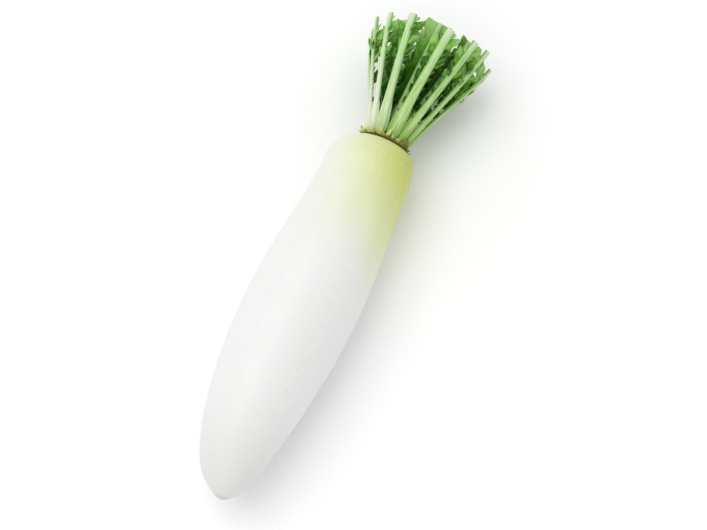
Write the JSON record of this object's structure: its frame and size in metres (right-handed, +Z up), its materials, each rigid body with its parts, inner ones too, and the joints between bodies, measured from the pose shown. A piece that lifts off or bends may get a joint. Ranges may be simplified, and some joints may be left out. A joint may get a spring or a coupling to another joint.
{
  "type": "daikon radish",
  "caption": "Whole daikon radish lying on its side: a stout white root with a green shoulder and blunt tip, and a fan of trimmed leaf stalks with small toothed leaflets.",
  "frame": {"origin": "middle of the small flat spot under the belly that the radish lies on", "axes": "+X along the root from its tip towards the leaves, +Z up, +Y to the side that the root bows towards"},
  "size_m": [0.4041, 0.1041, 0.0924],
  "materials": {
    "root": "smooth, slightly waxy vegetable skin, white with a yellow-green shoulder",
    "crown": "rough and dry, tan and brown",
    "leaf": "fresh green stalks and leaflets, softly glossy"
  },
  "bodies": {
    "root": {"root": "root", "crown": "crown", "leaf_stalk_01": "leaf", "leaf_stalk_02": "leaf", "leaf_stalk_03": "leaf", "leaf_stalk_04": "leaf", "leaf_stalk_05": "leaf", "leaf_stalk_06": "leaf", "leaf_stalk_07": "leaf", "leaf_stalk_08": "leaf", "leaf_stalk_09": "leaf", "leaf_stalk_10": "leaf", "leaf_stalk_11": "leaf", "leaf_stalk_12": "leaf", "leaf_stalk_13": "leaf", "leaf_stalk_14": "leaf", "leaf_stalk_15": "leaf", "leaf_stalk_16": "leaf", "leaf_stalk_17": "leaf", "leaf_stalk_18": "leaf", "leaf_stalk_19": "leaf", "leaf_stalk_20": "leaf", "leaf_stalk_21": "leaf", "leaf_stalk_22": "leaf", "leaf_stalk_23": "leaf", "leaf_stalk_24": "leaf"}
  },
  "joints": []
}
